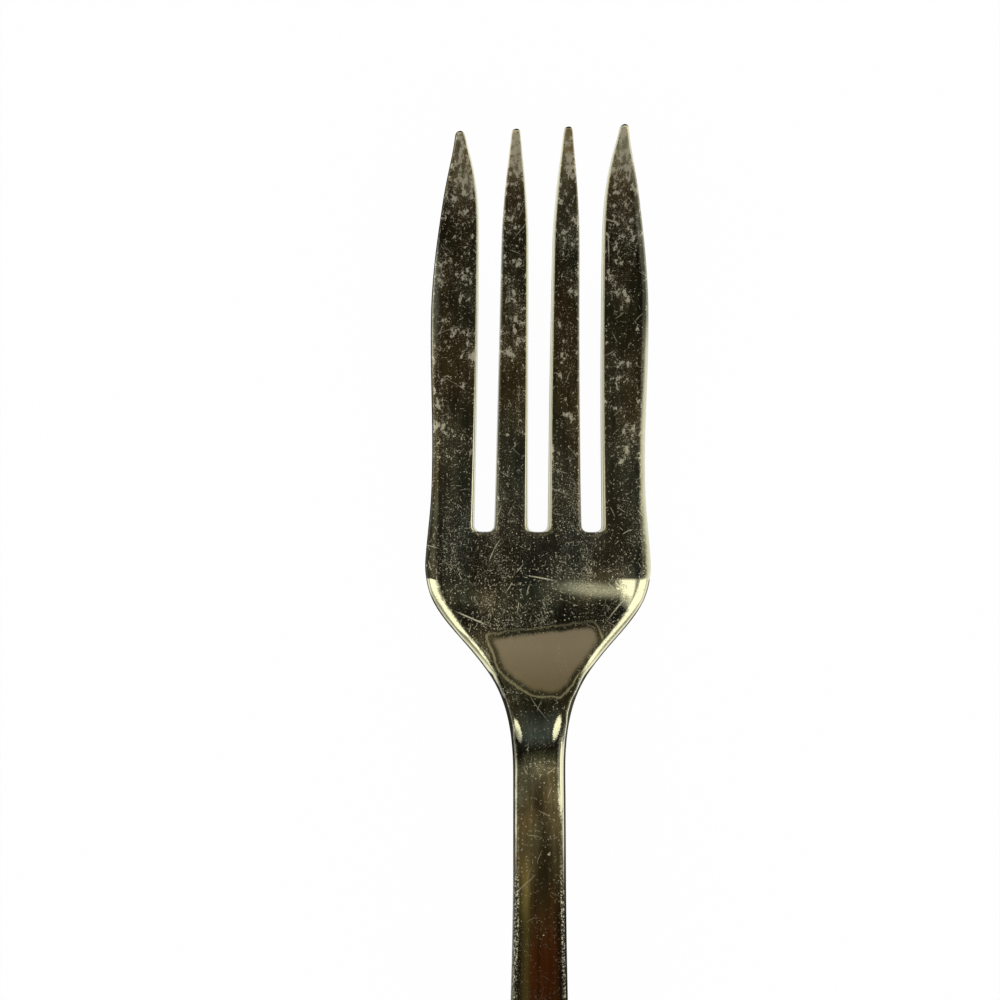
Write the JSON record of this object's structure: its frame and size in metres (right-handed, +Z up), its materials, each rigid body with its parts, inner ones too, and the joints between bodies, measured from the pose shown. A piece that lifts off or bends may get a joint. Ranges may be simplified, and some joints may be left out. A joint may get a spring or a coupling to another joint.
{
  "type": "dinner fork",
  "caption": "One-piece table fork with long tapered tines, a dished head, an arched stem and a rounded, widening handle.",
  "frame": {"origin": "middle of the fork's length and width, on the surface that it lies on", "axes": "+Y along the fork towards the tines' tips, +Z up, out of the hollow side of the head, +X to the right"},
  "size_m": [0.026, 0.2, 0.0147],
  "materials": {
    "plated_metal": "polished"
  },
  "bodies": {
    "root": {"fork": "plated_metal"}
  },
  "joints": []
}
